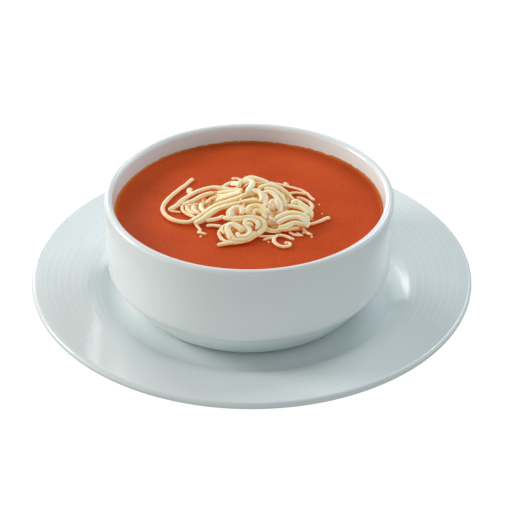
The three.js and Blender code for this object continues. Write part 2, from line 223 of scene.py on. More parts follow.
# %% Glaze colours
PLATE_WHITE = (0.74, 0.785, 0.785)
PLATE_SHADE = (0.71, 0.76, 0.76)
BOWL_WHITE = (0.8, 0.825, 0.82)
BOWL_SHADE = (0.77, 0.8, 0.795)
BOWL_INSIDE = (0.79, 0.88, 0.88)
INSIDE_RADIUS = 61
OUTSIDE_RADIUS = 62.5

# %% Glaze recipe
GLAZE_IOR = 1.5
COAT_ROUGHNESS = 0.08
ROUGHNESS_DRIFT = 0.08
GLAZE_WAVE = 0.04


def glaze(name, light, shade, scale, roughness, coat):
    constants = {"IOR": GLAZE_IOR, "Coat Weight": coat, "Coat Roughness": COAT_ROUGHNESS}
    finish = Finish(name, constants)
    fine = finish.noise(15 * scale, 2)
    finish.set("Roughness", roughness + fine * ROUGHNESS_DRIFT)
    finish.bump(finish.noise(3.3 * scale, 2) * 0.8 + fine * 0.2, GLAZE_WAVE * MM)
    drift = finish.ramp(finish.noise(scale, 3), 0.35, 0.7)
    return finish, finish.mix(drift, light, shade)


plate_glaze, plate_white = glaze("white plate glaze", PLATE_WHITE, PLATE_SHADE, 14, 0.19, 0.08)
bowl_glaze, bowl_white = glaze("white bowl glaze", BOWL_WHITE, BOWL_SHADE, 17, 0.17, 0.2)
from_middle = bowl_glaze.across(BOWL_X * MM)
inside = 1 - bowl_glaze.ramp(from_middle, INSIDE_RADIUS * MM, OUTSIDE_RADIUS * MM)
bowl_glaze.set("Base Color", bowl_glaze.mix(inside, bowl_white, BOWL_INSIDE))

# %% [markdown]
# ## Painted highlights on the plate's rings
# The plate's rim has nine fine raised rings. The light catches their crests, and that highlight is
# painted into the glaze colour as slightly lighter lines. A cosine of the distance from the
# plate's middle is at its highest on each ring, and two ramps stop the lines where the rings stop.

# %% Painted highlight lines on the rings
RING_FIRST = 69.8
RING_PITCH = 3.1
RING_COUNT = 9
RING_HIGHLIGHT = (0.8, 0.84, 0.84)
RING_HIGHLIGHT_SHARE = 0.5

radius = plate_glaze.across(0) / MM
turns = (radius - RING_FIRST) / RING_PITCH
wave = plate_glaze.node("ShaderNodeMath", {"operation": "COSINE"}, {0: turns * math.tau})
on_rim = (turns + 0.5).above(0).below(1)
past_rim = plate_glaze.ramp(turns, RING_COUNT - 0.55, RING_COUNT - 0.45)
# Painted highlight: a lighter line on the crest of each ring, where the light catches it.
line = plate_glaze.ramp(wave, 0.6, 1.0) * on_rim * (1 - past_rim)
highlighted_white = plate_glaze.mix(line * RING_HIGHLIGHT_SHARE, plate_white, RING_HIGHLIGHT)
plate_glaze.set("Base Color", highlighted_white)
print("glazes:", plate_glaze.material.name, "and", bowl_glaze.material.name)

# %% [markdown]
# ## Turned pieces
# Plates and bowls are made on a wheel, and here too: a few corner points of the cross-section are
# joined by edges, the corners are rounded with a vertex bevel, and the line is spun once round. A
# spun shape can come out inside out, so its normals are recalculated after the seam is merged.

# %% Draw a profile and spin it
# A corner is its distance from the middle, its height and how far it is rounded, in millimetres.
CORNER_SEGMENTS = 6
HALF_ROUND = 0.49
SEAM_GAP = 0.0005


def profile_line(corners):
    shape = bmesh.new()
    points = [shape.verts.new((radius * MM, 0, height * MM)) for radius, height, _ in corners]
    for pair in zip(points, points[1:]):
        shape.edges.new(pair)
    for point, (_, _, rounding) in zip(points, corners):
        if rounding:
            bmesh.ops.bevel(shape, geom=[point], offset=rounding * MM, offset_type="OFFSET",
                            segments=CORNER_SEGMENTS, profile=0.5, affect="VERTICES",
                            material=-1)
    return shape


def spin_round(shape, centre_x, steps):
    bmesh.ops.translate(shape, verts=shape.verts, vec=(centre_x * MM, 0, 0))
    geometry = shape.verts[:] + shape.edges[:]
    bmesh.ops.spin(shape, geom=geometry, cent=(centre_x * MM, 0, 0), axis=(0, 0, 1),
                   angle=math.tau, steps=steps, use_merge=True)
    bmesh.ops.remove_doubles(shape, verts=shape.verts, dist=SEAM_GAP * MM)
    bmesh.ops.recalc_face_normals(shape, faces=shape.faces)


# %% Turn a shape into a finished piece
def finish_piece(name, shape, finish, replaced=None):
    for face in shape.faces:
        face.smooth = True
    mesh = bpy.data.meshes.new(name)
    shape.to_mesh(mesh)
    shape.free()
    mesh.materials.append(finish.material)
    piece = bpy.data.objects.new(name, mesh)
    bpy.context.scene.collection.objects.link(piece)
    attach(piece, "root")
    if replaced:
        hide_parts(replaced)
    print(name, "has", len(mesh.polygons), "faces")


# %% [markdown]
# ## The plate
# The plate has a flat floor, a short steep well, a wide rim that slopes gently up, and a thick
# rounded edge. The nine rings are only a few hundredths of a millimetre high, but they catch the
# light, so they are real relief as well as painted highlight lines in the glaze: the rim's line is
# subdivided and each new point is lifted by a narrow wave. Underneath, the plate stands on a foot
# ring.

# %% Plate sizes
PLATE_EDGE = 3.5
PLATE_BODY = 4.6
WELL_RADIUS = 71.9
WELL_TOP = 13.7
FLOOR_RADIUS = 62.5
FLOOR_TOP = 8.0
FOOT_OUTER = 60.0
FOOT_INNER = 54.0
FOOT_DEPTH = 3.0
FOOT_LEAN_IN = 1
FOOT_LEAN_OUT = 1.2
UNDER_WELL = 2
UNDER_RIM = 95.0
UNDER_RIM_HOLLOW = 0.2
BAND_RADIUS = 97.0
BAND_LIFT = 0.1


def rim_height(radius):
    climb = (PLATE_RIM_TOP - WELL_TOP) * (radius - WELL_RADIUS)
    return WELL_TOP + climb / (PLATE_RADIUS - WELL_RADIUS)


# %% Plate profile
plate_corners = [
    (0, FOOT_DEPTH, 0),
    (FOOT_INNER - FOOT_LEAN_IN, FOOT_DEPTH, 0.8),
    (FOOT_INNER, 0, 0.8),
    (FOOT_OUTER, 0, 1.2),
    (FOOT_OUTER + FOOT_LEAN_OUT, FOOT_DEPTH, 1.0),
    (WELL_RADIUS + UNDER_WELL, WELL_TOP - PLATE_BODY, 4.0),
    (UNDER_RIM, rim_height(UNDER_RIM) - PLATE_EDGE - UNDER_RIM_HOLLOW, 2.0),
    (PLATE_RADIUS, PLATE_RIM_TOP - PLATE_EDGE, PLATE_EDGE * HALF_ROUND),
    (PLATE_RADIUS, PLATE_RIM_TOP, PLATE_EDGE * HALF_ROUND),
    (BAND_RADIUS, rim_height(BAND_RADIUS) + BAND_LIFT, 1.0),
    (WELL_RADIUS, WELL_TOP, 5.5),
    (FLOOR_RADIUS, FLOOR_TOP, 5.0),
    (0, FLOOR_TOP, 0),
]
plate_shape = profile_line(plate_corners)
print("corners on the plate:", len(plate_corners))

# %% Rings on the rim
RING_HEIGHT = 0.03
RING_CUT = 0.32


def ring_lift(radius):
    turns = (radius - RING_FIRST) / RING_PITCH
    if turns < -0.5 or turns > RING_COUNT - 0.5:
        return 0.0
    return RING_HEIGHT * (0.5 + 0.5 * math.cos(math.tau * turns)) ** 4


def on_rim_top(vert):
    radius = vert.co.x / MM
    in_band = RING_FIRST - RING_PITCH < radius < BAND_RADIUS + 0.5
    return in_band and vert.co.z / MM > rim_height(radius) - PLATE_EDGE / 2


rim_edges = [edge for edge in plate_shape.edges if all(on_rim_top(vert) for vert in edge.verts)]
for edge in rim_edges:
    cuts = int(edge.calc_length() / (RING_CUT * MM))
    if cuts:
        bmesh.ops.subdivide_edges(plate_shape, edges=[edge], cuts=cuts)
for vert in filter(on_rim_top, plate_shape.verts):
    vert.co.z += ring_lift(vert.co.x / MM) * MM
print("profile points on the plate:", len(plate_shape.verts))

# %% Spin the plate
ROUND_STEPS = 160

spin_round(plate_shape, 0, ROUND_STEPS)
finish_piece("plate_glazed", plate_shape, plate_glaze, "plate")

# %% [markdown]
# ## The bowl
# This is a stacking bowl: an almost upright wall, a crease low down, and a bevel to a smaller
# foot, so that the next bowl sits inside this one. The lip is a full round. The inside follows
# the outside at one wall's thickness, down to a crease of its own and a flat floor.

# %% Bowl sizes
BOWL_WALL = 3.75
CREASE = 25.6
BEVEL_RADIUS = 52.3
BEVEL_BOTTOM = 9.8
BOWL_TAPER = 0.35
BOWL_FOOT_OUTER = 50.0
BOWL_FOOT_INNER = 45.0
BOWL_FOOT_LEAN = 0.8
BOWL_RECESS = 1.2
WALL_AT_SOUP = 60.5
WALL_AT_CREASE = 59.7
INNER_CREASE = CREASE + 2
INNER_FLOOR_RADIUS = 46.0
INNER_FLOOR = 14.0

# %% Bowl profile
bowl_corners = [
    (0, BOWL_BASE + BOWL_RECESS, 0),
    (BOWL_FOOT_INNER, BOWL_BASE + BOWL_RECESS, 0.5),
    (BOWL_FOOT_INNER + BOWL_FOOT_LEAN, BOWL_BASE, 0.5),
    (BOWL_FOOT_OUTER, BOWL_BASE, 0.6),
    (BEVEL_RADIUS, BEVEL_BOTTOM, 0.8),
    (BOWL_RADIUS - BOWL_TAPER, CREASE, 1.7),
    (BOWL_RADIUS, BOWL_RIM_TOP, BOWL_WALL * HALF_ROUND),
    (BOWL_RADIUS - BOWL_WALL, BOWL_RIM_TOP, BOWL_WALL * HALF_ROUND),
    (WALL_AT_SOUP, SOUP_LEVEL, 0),
    (WALL_AT_CREASE, INNER_CREASE, 2.5),
    (INNER_FLOOR_RADIUS, INNER_FLOOR, 3.0),
    (0, INNER_FLOOR, 0),
]
print("corners on the bowl:", len(bowl_corners))

# %% Spin the bowl
bowl_shape = profile_line(bowl_corners)
spin_round(bowl_shape, BOWL_X, ROUND_STEPS)
finish_piece("bowl_glazed", bowl_shape, bowl_glaze, "bowl")

# %% [markdown]
# ## The soup
# Blended tomato soup is thick and opaque, with a soft sheen. It climbs the wall a little at its
# edge, and its surface is not quite flat. The colour is a warm orange-red that is lighter where
# oil gathers, with tiny specks of pulp.

# %% Soup colours
SOUP_DEEP = (0.5, 0.055, 0.011)
SOUP_WARM = (0.61, 0.078, 0.015)
SOUP_OIL = (0.74, 0.19, 0.035)
SOUP_EDGE = (0.82, 0.27, 0.06)
PULP = (0.66, 0.17, 0.07)
OIL_FROM = 59.2
OIL_FULL = 60.3
OIL_SHARE = 0.9
PULP_SHARE = 0.35
GRAIN_SHARE = 0.22

soup_finish = Finish("tomato_soup", {
    "IOR": 1.36, "Specular IOR Level": 0.06, "Subsurface Weight": 0.12,
    "Subsurface Radius": (1.0, 0.3, 0.12), "Subsurface Scale": 1.5 * MM,
})
broad = soup_finish.noise(28, 3)
grain = soup_finish.noise(900, 2)
soup_colour = soup_finish.mix(soup_finish.ramp(broad, 0.3, 0.7), SOUP_DEEP, SOUP_WARM)
edge_oil = soup_finish.ramp(soup_finish.across(BOWL_X * MM), OIL_FROM * MM, OIL_FULL * MM)
soup_colour = soup_finish.mix(edge_oil * OIL_SHARE, soup_colour, SOUP_EDGE)
cell_inputs = {"Vector": soup_finish.place, "Scale": 420.0}
cells = soup_finish.node("ShaderNodeTexVoronoi", {}, cell_inputs, "Distance")
specks = 1 - soup_finish.ramp(cells, 0.05, 0.16)
pulp = specks * soup_finish.ramp(broad, 0.45, 0.6) * PULP_SHARE
soup_colour = soup_finish.mix(pulp, soup_colour, PULP)
oil_grain = soup_finish.ramp(grain, 0.45, 0.75) * GRAIN_SHARE
soup_finish.set("Base Color", soup_finish.mix(oil_grain, soup_colour, SOUP_OIL))

# %% Soup sheen
SOUP_ROUGHNESS = 0.4
SOUP_BUMP = 0.12

soup_finish.set("Roughness", SOUP_ROUGHNESS + grain * 0.16)
soup_finish.bump(soup_finish.noise(160, 3) * 0.7 + grain * 0.3, SOUP_BUMP * MM)
print("soup finish:", soup_finish.material.name)

# %% Soup profile
FLOOR_GAP = 0.5
CREASE_GAP = 0.3
MENISCUS_REACH = 1.8
MENISCUS_BEND = 0.6

soup_corners = [
    (0, SOUP_BASE, 0),
    (INNER_FLOOR_RADIUS - FLOOR_GAP, SOUP_BASE, 3.0),
    (WALL_AT_CREASE - CREASE_GAP, INNER_CREASE, 2.5),
    (SOUP_RADIUS, SOUP_LEVEL + MENISCUS, 0),
    (SOUP_RADIUS - MENISCUS_BEND, SOUP_LEVEL + MENISCUS * 0.35, 0),
    (SOUP_RADIUS - MENISCUS_REACH, SOUP_LEVEL, 0),
    (0, SOUP_LEVEL, 0),
]
soup_shape = profile_line(soup_corners)

# %% Spin the soup and wave its surface
SOUP_CUTS = 44
SOUP_STEPS = 144
SOUP_WAVE = 0.16
SOUP_WAVES_PER_METRE = 55
SURFACE_BAND = 0.5


def high_and_long(edge):
    return min(vert.co.z for vert in edge.verts) + edge.calc_length()


top_edge = max(soup_shape.edges, key=high_and_long)
bmesh.ops.subdivide_edges(soup_shape, edges=[top_edge], cuts=SOUP_CUTS)
spin_round(soup_shape, BOWL_X, SOUP_STEPS)
for vert in soup_shape.verts:
    if vert.co.z > (SOUP_LEVEL - SURFACE_BAND) * MM:
        vert.co.z += SOUP_WAVE * MM * noise.noise(vert.co * SOUP_WAVES_PER_METRE)
finish_piece("soup_filled", soup_shape, soup_finish, "soup")

# %% [markdown]
# ## The film on the wall
# Where the bowl was carried, soup washed a little way up the wall and left a thin film with an
# uneven upper edge. It is a narrow ring, wedge shaped in section, whose top edge is moved up and
# down by a slow wave and a fine ripple round the bowl, and slides along the leaning wall as it
# moves.

# %% Film profile
FILM_HEIGHT = 0.6
FILM_STEPS = 240

film_corners = [
    (WALL_AT_SOUP - 0.75, SOUP_LEVEL + 0.12, 0),
    (WALL_AT_SOUP - 0.12, SOUP_LEVEL + 0.3, 0),
    (WALL_AT_SOUP + 0.04, SOUP_LEVEL + FILM_HEIGHT, 0),
    (WALL_AT_SOUP + 0.12, SOUP_LEVEL - 0.3, 0),
]
film_shape = profile_line(film_corners)
film_shape.verts.ensure_lookup_table()
film_shape.edges.new((film_shape.verts[3], film_shape.verts[0]))
spin_round(film_shape, BOWL_X, FILM_STEPS)

# %% Uneven edge of the film
FILM_WAVE = 0.8
FILM_WAVE_TURNS = 2.2
FILM_RIPPLE = 0.45
FILM_RIPPLE_TURNS = 30
FILM_LOWEST = -0.35
FILM_EDGE_BAND = 0.1


def round_noise(angle, turns, level):
    return noise.noise(Vector((turns * math.cos(angle), turns * math.sin(angle), level)))


for vert in film_shape.verts:
    if vert.co.z > (SOUP_LEVEL + FILM_HEIGHT - FILM_EDGE_BAND) * MM:
        angle = math.atan2(vert.co.y, vert.co.x - BOWL_X * MM)
        wave = FILM_WAVE * round_noise(angle, FILM_WAVE_TURNS, 0.4)
        ripple = FILM_RIPPLE * round_noise(angle, FILM_RIPPLE_TURNS, 2.7)
        lift = max(FILM_LOWEST, wave + ripple)
        vert.co.z += lift * MM
        slope = lift * (BOWL_RADIUS - BOWL_WALL - WALL_AT_SOUP) / (BOWL_RIM_TOP - SOUP_LEVEL)
        vert.co.x += slope * MM * math.cos(angle)
        vert.co.y += slope * MM * math.sin(angle)
finish_piece("soup_film", film_shape, soup_finish)

# %% [markdown]
# ## Cheese finish
# Grated mild cheese is pale cream and a little see-through. The upper side of a shred is almost
# white, its underside looks warm because light comes back through it from the soup, and where it
# lies in the soup it turns pinkish. Tracing that light would take long, so it is painted: the
# underside's colour is mixed towards a warm painted underglow, and a faint warm emission glow
# stands in for it too, stronger below and near the soup. Two values stored on the points say which
# side is which: `tone` is one number for each whole shred, and `under` runs from 0 on top of it to
# 1 below. One recipe makes two finishes: fresh cheese, and cheese that is packed and soaked inside
# the heap.

# %% Cheese colours
CHEESE_PALE = (0.76, 0.77, 0.68)
CHEESE_BUTTER = (0.82, 0.71, 0.36)
CHEESE_PAINTED_UNDERGLOW = (0.9, 0.53, 0.09)
CHEESE_SOAKED = (0.77, 0.56, 0.4)
CHEESE_PACKED_STAIN_AND_SHADE = (0.6, 0.26, 0.07)
CHEESE_WET = (0.8, 0.3, 0.1)
GLOW_FAINT = (0.28, 0.17, 0.04)
GLOW_WARM = (1.0, 0.33, 0.03)

# %% Cheese recipe
SOAKED_SHARE = 0.85
SOAKED_GLOW = 0.7
PAINTED_UNDERGLOW_SHARE = 0.8
WET_SHARE = 0.8
CHEESE_ROUGHNESS = 0.34
CHEESE_BUMP = 0.12


def cheese_finish(name, soaked_colour, soaked_to, glow):
    finish = Finish(name, {
        "IOR": 1.4, "Specular IOR Level": 0.35, "Coat Weight": 0.06, "Coat Roughness": 0.25,
        "Subsurface Weight": 0.45, "Subsurface Radius": (1.0, 0.85, 0.6),
        "Subsurface Scale": 1.8 * MM, "Emission Strength": glow,
    })
    tone = finish.node("ShaderNodeAttribute", {"attribute_name": "tone"}, {}, "Fac")
    under = finish.node("ShaderNodeAttribute", {"attribute_name": "under"}, {}, "Fac")
    mottle = finish.noise(240, 3)
    buttery = finish.ramp(tone * 0.6 + mottle * 0.4, 0.15, 0.8)
    cream = finish.mix(buttery, CHEESE_PALE, CHEESE_BUTTER)
    rise = finish.height() / MM + mottle * 0.8 - 0.4
    soaked = 1 - finish.ramp(rise, SOUP_LEVEL + 0.4, SOUP_LEVEL + soaked_to)
    colour = finish.mix(soaked * SOAKED_SHARE, cream, soaked_colour)
    # Painted light: the underside of each shred is mixed towards a warm colour, standing in for
    # light sent back from the soup.
    shade = finish.ramp(under, 0.25, 0.9)
    colour = finish.mix(shade * PAINTED_UNDERGLOW_SHARE, colour, CHEESE_PAINTED_UNDERGLOW)
    # A faint warm emission glow, stronger below and near the soup, also stands in for that light.
    through = finish.ramp(under, 0.15, 0.75).above(soaked * SOAKED_GLOW)
    finish.set("Emission Color", finish.mix(through, GLOW_FAINT, GLOW_WARM))
    wet = 1 - finish.ramp(rise, SOUP_LEVEL - 0.1, SOUP_LEVEL + 0.6)
    finish.set("Base Color", finish.mix(wet * WET_SHARE, colour, CHEESE_WET))
    finish.set("Roughness", CHEESE_ROUGHNESS + mottle * 0.22)
    finish.bump(finish.noise(700, 3, 0.6) * 0.6 + mottle * 0.4, CHEESE_BUMP * MM)
    return finish


cheese = cheese_finish("fresh cheese", CHEESE_SOAKED, 2.4, 0.21)
# Packed cheese: a deep orange-tan that is partly soup stain and partly painted shade of the gaps
# in the heap. It reaches 16 mm up, so it covers all of the heap.
packed_cheese = cheese_finish("packed cheese", CHEESE_PACKED_STAIN_AND_SHADE, 16.0, 0.12)
print("cheese finishes:", cheese.material.name, "and", packed_cheese.material.name)

# %% [markdown]
# ## Routes of the shreds
# Each row is one shred of the heap: its width in millimetres, then the points that it runs
# through, as x, y and height over the soup. They are the routes of the solid heap, so the fine
# shreds lie where the solid ones do. A row's name says where in the heap its shred lies.

# %% Shred routes
SHREDS = {
    "long_hook": [2.6, (-27, 25, 0.5), (-30.5, 19, 0.5), (-34.5, 13, 0.5), (-38, 6.5, 0.5),
                  (-40, 0, 0.5), (-39.2, -5.5, 0.6), (-36.5, -10, 0.8), (-32.5, -13, 1),
                  (-28, -14, 1.3), (-24.5, -12, 2), (-21, -9, 2.8)],
    "outer_sweep": [2.8, (-37.2, -3, 0.6), (-34, 0, 0.9), (-31, 5, 1.2), (-27, 9.5, 1.5),
                    (-23, 12.5, 1.8), (-18, 14.5, 2), (-13.5, 13.5, 2.2), (-9, 11.5, 2.6),
                    (-5.5, 11.5, 3.4)],
    "sweep_leg": [1.7, (-36.8, -3.3, 0.6), (-34.5, -4, 0.5), (-31.8, -4.5, 0.4)],
    "inner_rod": [2.6, (-31, 0.5, 1.2), (-27, 3, 1.6), (-22.5, 7, 2), (-19.5, 9, 2), (-17, 10, 2)],
    "fan_rim": [1.8, (-31.3, 0.5, 1), (-31, -3.5, 0.9), (-28.5, -7, 0.9), (-25, -10, 1.2)],
    "fan_rib_left": [2.4, (-29, 0.5, 0.9), (-28.5, -3.5, 0.9), (-25.5, -7.5, 1)],
    "fan_rib_middle": [2.4, (-26, 0, 1.2), (-26, -3.5, 1.2), (-23.5, -7.5, 1.5)],
    "fan_rib_right": [2.6, (-22.5, 1.5, 1.6), (-22.5, -3, 1.6), (-21, -7, 2.2)],
    "fan_bar": [1.9, (-30.5, 0.5, 1.2), (-27, 0, 1.4), (-24.5, 1, 1.6)],
    "left_stub": [3, (-28, 16.5, 0.3), (-28.5, 13.5, 0.4), (-27, 10.5, 0.9)],
    "band_low": [3.2, (-25.5, -15, 1.2), (-22, -13.5, 2), (-18.5, -10.5, 3.2), (-15, -7.5, 4),
                 (-11, -6, 4.6), (-6, -4.5, 5.2), (-1, -3.5, 5.8), (3, -3.5, 6.1)],
    "band_middle": [3, (-22.5, -11, 2.4), (-19, -7, 3.4), (-15.5, -4.5, 4.2), (-11, -3, 5),
                    (-7, -1.5, 5.6), (-2.5, 1.5, 6), (1.5, 2.5, 6)],
    "band_top": [2.4, (-16, 0, 3.6), (-12.5, 1, 4.4), (-8.5, 2.5, 5), (-4.5, 4, 5.6)],
    "band_branch": [2.6, (-20.5, -13.5, 1.8), (-16, -13.5, 2.4), (-12, -12.5, 3.4)],
    "band_sunk": [2.4, (-20, -16, 0.7), (-16.5, -16.5, 1), (-13, -18, 1.4)],
    "packed_back": [2.6, (-15.5, 9.5, 2.2), (-12, 8.5, 3.2), (-8.5, 7.5, 4.2), (-5, 7.5, 5.2)],
    "packed_side": [2.4, (-15, 5.5, 2.4), (-11, 4.5, 3.6), (-7.5, 5, 4.6), (-4, 6.5, 5.6)],
    "gap_arch": [1.7, (-20.5, 0, 2.4), (-19, 3, 2.4), (-16.5, 4.5, 2.8), (-13.5, 4, 3.4)],
    "back_arc": [2, (-14, 13.5, 2.4), (-12, 15.5, 2.6), (-9.5, 17, 3), (-7, 16.5, 3.4),
                 (-5, 14.5, 4)],
    "back_bits": [1.8, (-9, 24, 0.8), (-7, 24.5, 0.8), (-4.5, 22.5, 0.9), (-3, 20.5, 1.2)],
    "crown": [3, (-6, 9.5, 5), (-5.5, 11.5, 5.8), (-3.5, 13.5, 6.4), (0, 14.5, 6.8),
              (4, 13.5, 6.6), (7, 12, 6), (9.5, 10.5, 5.3)],
    "crown_drop": [3, (-4, 12, 6), (-1.5, 12.5, 6.8), (0.4, 10.5, 7.2), (0, 6.5, 7.2),
                   (-1.5, 3.5, 7), (-1, 1.5, 6.8)],
    "arch_outer": [2.8, (3, 5.5, 6.4), (5, 7.5, 6.7), (8.5, 9, 6.5), (12.5, 8, 5.7),
                   (15.5, 6, 4.5), (17.3, 4, 3.2), (18.2, 2.5, 2.2)],
    "arch_middle": [2.6, (5.5, 6, 6.4), (9, 5.5, 6.6), (12, 3.5, 6.1), (14, 0, 5.3),
                    (14.7, -4, 4.4), (14.4, -7, 3.6)],
    "arch_inner": [2.6, (5, 2.5, 6.6), (8.3, 2.5, 6.7), (10.8, -0.5, 6.3), (12.5, -5, 5.5),
                   (12.8, -9, 4.8), (12.4, -12, 4.2)],
    "small_arch": [2.3, (8.3, -11, 5.2), (8.2, -6.5, 6), (9.8, -4, 6.2), (11.2, -6.5, 6),
                   (11.3, -9.5, 5)],
    "middle_drop": [2.6, (-1.5, 3.5, 6.6), (1.5, 3, 7), (4, 1, 7), (4.6, -3, 6.6),
                    (3.6, -5.5, 6.2)],
    "middle_side": [2.4, (5, 3, 6.5), (6.6, -1, 6.3), (6.2, -5, 6.1), (7, -8.5, 5.6)],
    "left_curl": [3, (-9, -16, 5), (-9, -12.5, 5.8), (-7.5, -10.5, 6.4), (-5, -10.5, 6.6),
                  (-4, -13, 6.3), (-5, -14.5, 5.8)],
    "right_curl": [2.8, (-1.5, -14.5, 5.8), (-1.5, -11.5, 6.5), (0.5, -9.5, 6.9), (3.5, -9.5, 6.9),
                   (6.2, -12, 6.4), (7.6, -14.5, 5.6)],
    "curl_inner": [2.4, (0.5, -15, 5.4), (1.6, -12.5, 6), (4, -12.5, 6), (5.7, -14.5, 5.4),
                   (6.6, -17, 4.7)],
    "tail": [2.9, (-12.5, -15, 4.2), (-9, -16.5, 4.6), (-5, -16.5, 4.9), (-1, -16, 5.1),
             (2.5, -16.5, 4.9), (5, -18.5, 4.3), (5.6, -20.5, 3.5), (4.6, -23, 2.6),
             (2, -25.5, 1.8), (-2, -28, 1.4), (-6, -30, 1.1), (-11, -31, 0.9), (-15, -32, 0.7)],
    "heart_left": [3.6, (-8.5, -29, 1.8), (-10, -25.5, 2.8), (-10.5, -22.5, 3.4), (-9, -20.5, 4.1),
                   (-7, -21.5, 4.2), (-5, -23, 3.8), (-3.5, -24.5, 3)],
    "heart_rim": [2, (-12, -20.5, 2.6), (-14, -22.5, 1.8), (-14, -25.5, 1.4), (-12, -29, 1.2),
                  (-8.5, -30.5, 1.2)],
    "heart_middle": [2.6, (-6.5, -25.5, 3), (-5, -28, 2.6), (-2.2, -27.5, 2.6), (-0.7, -25, 3.1),
                     (-1.7, -22, 3.8), (-3, -20, 4.4), (-1.5, -18, 4.9), (1.2, -18.5, 4.8),
                     (3, -20.5, 4.2), (2, -23, 3.2)],
    "heart_fold": [2.6, (-9, -27.5, 2.4), (-6.5, -29.5, 1.8), (-2.5, -29, 1.8), (0.3, -26.5, 2.1),
                   (1.5, -24, 2.6)],
    "heart_hook": [2, (-2.4, -21.5, 4.2), (-0.6, -21, 4.7), (0.3, -22, 4.2)],
    "fan_point": [3.4, (18.6, -4, 3.6), (19.2, -1.5, 4), (20.8, -1.5, 4), (23, -4, 3.5),
                  (25.2, -6, 2.9), (26.3, -8.5, 2.3), (26, -11.5, 1.8)],
    "fan_top": [2.6, (15.4, -4, 4), (17.6, -5.5, 4.2), (21, -6.5, 4.1), (24, -8.5, 3.6),
                (25.4, -11, 2.9)],
    "fan_back": [3, (10.5, -16.5, 4.4), (13.5, -14, 4.8), (17.5, -12, 4.8), (21.5, -12.5, 4.5),
                 (24.2, -14, 3.7), (25, -16.5, 2.6)],
    "fan_middle": [3, (11, -19, 3.6), (14.5, -16.5, 4.2), (18.5, -15, 4.4), (22, -15.5, 4),
                   (23.6, -17.5, 3), (22.4, -19, 2.2)],
    "fan_front": [3, (11.5, -20.5, 2.4), (15, -20, 2.9), (18.5, -18.3, 3.5), (21, -18.3, 3.3),
                  (21.8, -19.5, 2.5)],
    "fan_low": [2.4, (12, -20.8, 1.6), (15, -21, 1.7), (18.5, -20.3, 2), (21, -19.8, 1.7)],
    "fan_link": [2.2, (6, -18, 3.6), (6.3, -20.5, 2.6), (9, -22, 2), (12.5, -20.8, 1.6)],
    "fan_neck": [2.4, (7, -14.5, 5), (8.6, -16.5, 4.6), (10.6, -17.5, 4)],
    "right_tail": [2.3, (23.5, -16, 1.4), (26.5, -15, 0.9), (30, -12.7, 0.6), (32.5, -10.7, 0.6),
                   (35, -9.2, 0.6)],
    "sunk_long": [1.8, (9, 20.5, 0.7), (13, 19.5, 0.5), (18, 17.2, 0.5), (22.5, 14.7, 0.5),
                  (25.3, 11.5, 0.5), (27.1, 7.7, 0.5), (28.6, 5.5, 0.5)],
    "sunk_middle": [2, (14.5, 8, 1.2), (16.8, 10.3, 0.9), (19.5, 12, 0.6), (22.5, 11.7, 0.5),
                    (25.5, 10.7, 0.5)],
    "sunk_short": [2, (20.5, 8, 0.6), (23.5, 6.2, 0.6), (26, 3.7, 0.6), (27.3, 0.5, 0.7),
                   (26.8, -3, 1.2), (25.6, -5.8, 2)],
    "stray_curl": [2, (18.6, -27.5, 0.5), (16.8, -26.3, 0.7), (14.2, -24.8, 0.9), (11.6, -24.6, 1),
                   (10, -26.6, 1), (9.8, -29.5, 0.9), (11.4, -32, 0.8), (14, -33.5, 0.8),
                   (16.4, -32.6, 0.8), (16.6, -30.8, 0.8), (15.1, -30.4, 0.8), (14.6, -31.4, 0.8)],
    "curl_bar": [1.6, (2.5, -25, 1), (6, -25, 0.7), (10.4, -25.2, 0.9)],
    "curl_bit": [1.6, (5, -27.7, 0.5), (7.8, -26.3, 0.6), (9.6, -26.8, 0.7)],
    "scrap_front": [1.8, (16.4, -21.5, 0.9), (18, -23, 0.6), (20, -24, 0.6), (22.6, -24, 0.5)],
    "scrap_right": [1.7, (22.4, -19, 1.2), (23.6, -20.8, 0.7), (25, -22.7, 0.5),
                    (26.8, -23.3, 0.4)],
    "scrap_left": [1.6, (-25, -15, 1), (-23.6, -17.5, 0.7), (-22.6, -19.7, 0.5),
                   (-23.8, -21.5, 0.5)],
    "scrap_tip": [1.8, (-24, -21.5, 0.5), (-22, -22, 0.6), (-19.8, -23, 0.4)],
    "slope_left": [2.8, (-5, 12, 5.6), (-7.5, 14.5, 4.2), (-8.5, 17, 2.4), (-6, 19.5, 1.2),
                   (-1, 20.5, 0.8)],
    "slope_middle": [2.8, (-2, 13.5, 6), (0.5, 16, 4.6), (5, 18, 2.6), (9.5, 17.8, 1.2)],
    "slope_right": [2.8, (6, 12, 6), (9.5, 13, 4.2), (13, 12.7, 2.4), (16, 10.3, 1.2)],
    "slope_low": [2.6, (-3, 14.5, 5), (-3.5, 17.5, 3.2), (0, 19.3, 2), (6, 19.6, 1)],
}
print(len(SHREDS), "shreds")

# %% [markdown]
# ## From a route to a shred
# A shred is a small flattened ring that is extruded step by step along a smooth curve through its
# points. At each step the ring is turned to face along the curve and rolled a little. Soft noise
# dents it, because a grater never cuts two shreds alike, and both ends are torn short and
# rounded. Each shred is built in a bmesh of its own, which keeps the extrusions fast.

# %% Smooth routes
def smooth_route(points, spacing):
    route = []
    padded = [points[0] * 2 - points[1], *points, points[-1] * 2 - points[-2]]
    for before, start, end, after in zip(padded, padded[1:], padded[2:], padded[3:]):
        count = max(2, round((end - start).length / spacing))
        for i in range(count):
            t = i / count
            route.append(0.5 * (2 * start + (end - before) * t
                                + (2 * before - 5 * start + 4 * end - after) * t ** 2
                                + (3 * start - before - 3 * end + after) * t ** 3))
    route.append(points[-1])
    return route


